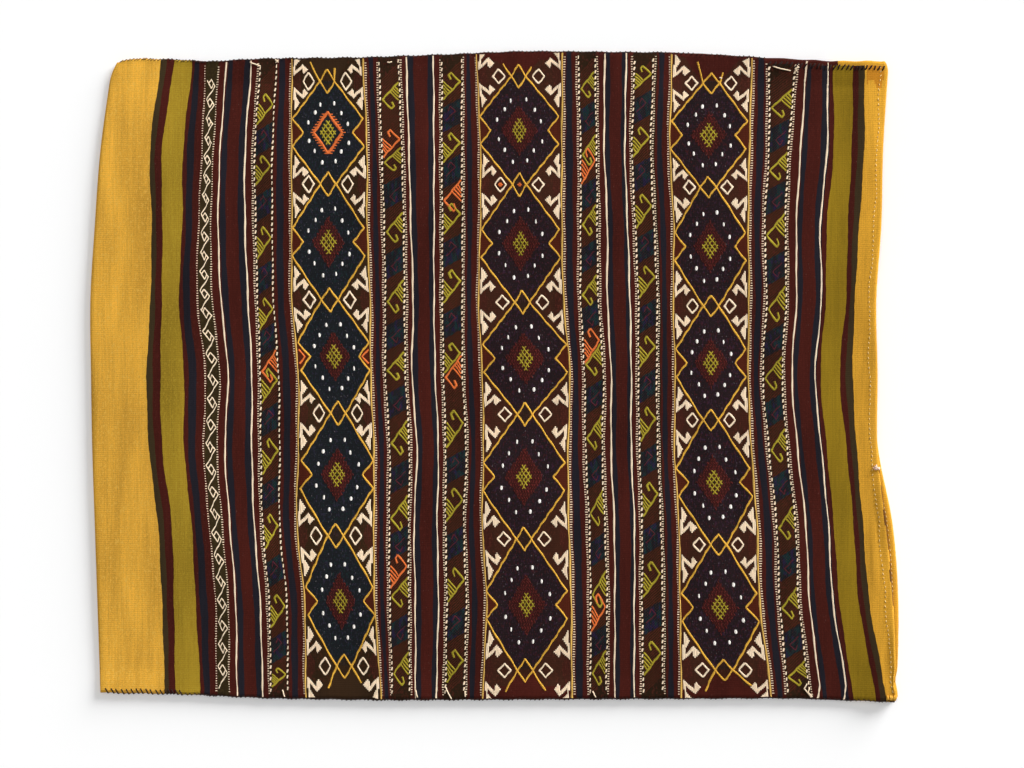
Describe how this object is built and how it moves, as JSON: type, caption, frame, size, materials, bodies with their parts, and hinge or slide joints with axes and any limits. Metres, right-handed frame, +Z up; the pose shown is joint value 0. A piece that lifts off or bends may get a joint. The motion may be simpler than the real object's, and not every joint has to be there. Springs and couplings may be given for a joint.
{
  "type": "kilim saddle bag",
  "caption": "Large flat-woven wool saddle bag lying flat and empty: one folded cloth with banded pattern, overcast sides and an open hemmed mouth.",
  "frame": {"origin": "on the surface that the bag lies on, below the middle of its outline", "axes": "+X from the fold to the mouth, +Y to the upper side seam of the patterned front, +Z up out of the front"},
  "size_m": [1.293, 1.0398, 0.0242],
  "materials": {
    "woven_wool": "dense weft-faced wool in maroon, navy, green, yellow and ivory, matt, with fine ribs",
    "seam_yarn": "dark brown two-ply wool yarn, matt",
    "tack_thread": "pinkish wool thread, matt"
  },
  "bodies": {
    "root": {"woven_cloth": "woven_wool", "upper_side_seam_yarn": "seam_yarn", "lower_side_seam_yarn": "seam_yarn", "mouth_tack_thread": "tack_thread"}
  },
  "joints": []
}
